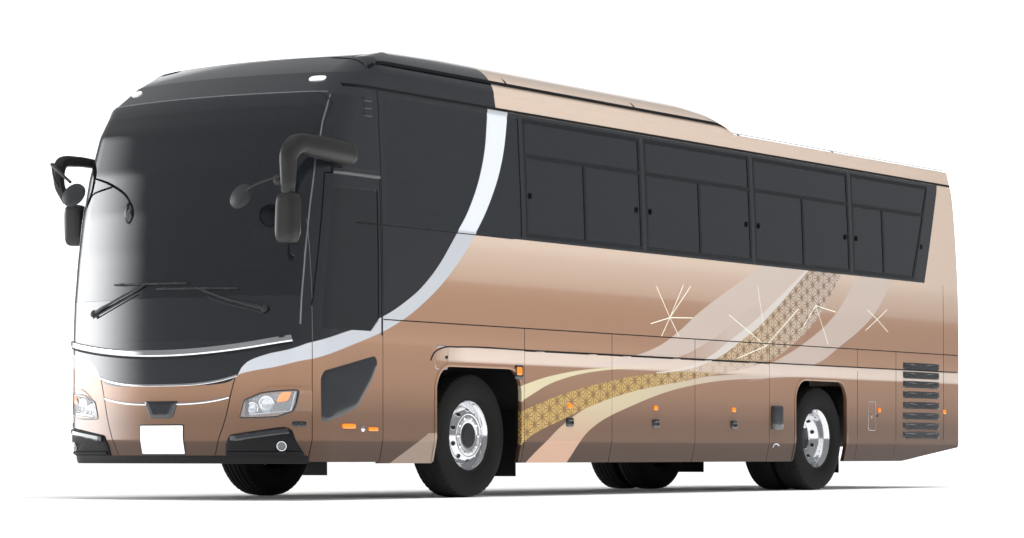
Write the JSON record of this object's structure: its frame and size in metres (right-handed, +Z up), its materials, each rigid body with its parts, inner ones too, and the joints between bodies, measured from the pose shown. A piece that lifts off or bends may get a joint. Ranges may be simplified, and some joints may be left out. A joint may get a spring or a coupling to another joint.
{
  "type": "high-decker touring coach",
  "caption": "Long high-decker touring coach with raised roof dome, swing-out entrance door, luggage flaps, steered front wheels and twin rear wheels.",
  "frame": {"origin": "on the ground, on the centre line, midway between the rear of the body and the front face of the door mirror", "axes": "+X forward, +Y to the coach's left, +Z up"},
  "size_m": [12.16, 2.83, 3.75],
  "materials": {
    "paint": "metallic bronze with a clear coat",
    "dark_paint": "gloss blue-black",
    "dark_frames": "satin",
    "glazing": "tinted",
    "bright_trim": "polished",
    "dark_plastic": "matt",
    "lamp_lens": "clear over bright reflectors",
    "floor": "satin",
    "chassis": "painted black",
    "alloy": "polished",
    "tyre": "matt",
    "seat_cloth": "woven",
    "flap_rubber": "matt"
  },
  "bodies": {
    "coach": {"side_wall_left": "paint", "side_wall_right": "paint", "skirt_panels": "paint", "roof": "paint", "rear_wall": "paint", "rear_bumper": "paint", "front_panel": "paint", "front_bumper": "paint", "front_cap": "dark_paint", "window_frames": "dark_frames", "mirrors": "dark_frames", "windscreen": "glazing", "window_glass": "glazing", "front_strip": "bright_trim", "front_grille": "dark_plastic", "wipers": "dark_plastic", "dashboard": "dark_plastic", "lamps": "lamp_lens", "cabin_floor": "floor", "luggage_hold": "floor", "chassis_frame": "chassis", "front_axle": "chassis", "rear_axle": "chassis", "engine_block": "chassis", "seats": "seat_cloth", "mudflaps": "flap_rubber"},
    "luggage_flap_left_1": {"luggage_door_left_1": "paint"},
    "luggage_flap_left_2": {"luggage_door_left_2": "paint"},
    "luggage_flap_left_3": {"luggage_door_left_3": "paint"},
    "luggage_flap_right_1": {"luggage_door_right_1": "paint"},
    "luggage_flap_right_2": {"luggage_door_right_2": "paint"},
    "luggage_flap_right_3": {"luggage_door_right_3": "paint"},
    "engine_flap": {"engine_lid": "paint"},
    "emergency_leaf": {"emergency_door": "paint", "emergency_door_glass": "glazing"},
    "entrance_arms": {"door_arms": "dark_frames"},
    "entrance_leaf": {"passenger_door": "paint", "passenger_door_glass": "glazing"},
    "knuckle_left": {"steering_knuckle_left": "chassis"},
    "knuckle_right": {"steering_knuckle_right": "chassis"},
    "front_wheel_left": {"front_rim_left": "alloy", "front_tyre_left": "tyre"},
    "front_wheel_right": {"front_rim_right": "alloy", "front_tyre_right": "tyre"},
    "rear_wheels_left": {"rear_rims_left": "alloy", "rear_tyres_left": "tyre"},
    "rear_wheels_right": {"rear_rims_right": "alloy", "rear_tyres_right": "tyre"}
  },
  "joints": [
    {"name": "luggage_hinge_left_1", "type": "hinge", "parent": "coach", "child": "luggage_flap_left_1", "pos_m": [1.925, 1.24, 1.237], "axis": [1, 0, 0], "range_deg": [0, 80]},
    {"name": "luggage_hinge_left_2", "type": "hinge", "parent": "coach", "child": "luggage_flap_left_2", "pos_m": [0.4825, 1.24, 1.237], "axis": [1, 0, 0], "range_deg": [0, 80]},
    {"name": "luggage_hinge_left_3", "type": "hinge", "parent": "coach", "child": "luggage_flap_left_3", "pos_m": [-0.971, 1.24, 1.237], "axis": [1, 0, 0], "range_deg": [0, 80]},
    {"name": "luggage_hinge_right_1", "type": "hinge", "parent": "coach", "child": "luggage_flap_right_1", "pos_m": [1.925, -1.24, 1.237], "axis": [-1, 0, 0], "range_deg": [0, 80]},
    {"name": "luggage_hinge_right_2", "type": "hinge", "parent": "coach", "child": "luggage_flap_right_2", "pos_m": [0.4825, -1.24, 1.237], "axis": [-1, 0, 0], "range_deg": [0, 80]},
    {"name": "luggage_hinge_right_3", "type": "hinge", "parent": "coach", "child": "luggage_flap_right_3", "pos_m": [-0.971, -1.24, 1.237], "axis": [-1, 0, 0], "range_deg": [0, 80]},
    {"name": "engine_lid_hinge", "type": "hinge", "parent": "coach", "child": "engine_flap", "pos_m": [-6.075, 0, 1.546], "axis": [0, 1, 0], "range_deg": [0, 75]},
    {"name": "emergency_hinge", "type": "hinge", "parent": "coach", "child": "emergency_leaf", "pos_m": [-3.534, -1.24, 2.285], "axis": [0, 0, 1], "range_deg": [0, 90]},
    {"name": "entrance_arm_swing", "type": "hinge", "parent": "coach", "child": "entrance_arms", "pos_m": [5.395, 1.02, 1.55], "axis": [0, 0, -1], "range_deg": [0, 147]},
    {"name": "entrance_leaf_swivel", "type": "hinge", "parent": "entrance_arms", "child": "entrance_leaf", "pos_m": [4.955, 1.02, 1.55], "axis": [0, 0, -1], "range_deg": [-147, 0]},
    {"name": "steer_left", "type": "hinge", "parent": "coach", "child": "knuckle_left", "pos_m": [3.31, 0.86, 0.515], "axis": [0, 0, 1], "range_deg": [-40, 40]},
    {"name": "steer_right", "type": "hinge", "parent": "coach", "child": "knuckle_right", "pos_m": [3.31, -0.86, 0.515], "axis": [0, 0, 1], "range_deg": [-40, 40]},
    {"name": "front_spin_left", "type": "hinge", "parent": "knuckle_left", "child": "front_wheel_left", "pos_m": [3.31, 1.02, 0.515], "axis": [0, 1, 0], "continuous": true},
    {"name": "front_spin_right", "type": "hinge", "parent": "knuckle_right", "child": "front_wheel_right", "pos_m": [3.31, -1.02, 0.515], "axis": [0, 1, 0], "continuous": true},
    {"name": "rear_spin_left", "type": "hinge", "parent": "coach", "child": "rear_wheels_left", "pos_m": [-2.77, 0.91, 0.515], "axis": [0, 1, 0], "continuous": true},
    {"name": "rear_spin_right", "type": "hinge", "parent": "coach", "child": "rear_wheels_right", "pos_m": [-2.77, -0.91, 0.515], "axis": [0, 1, 0], "continuous": true}
  ],
  "couplings": [
    {"joint": "steer_right", "follows": "steer_left", "ratio": 1},
    {"joint": "entrance_leaf_swivel", "follows": "entrance_arm_swing", "ratio": -1}
  ]
}
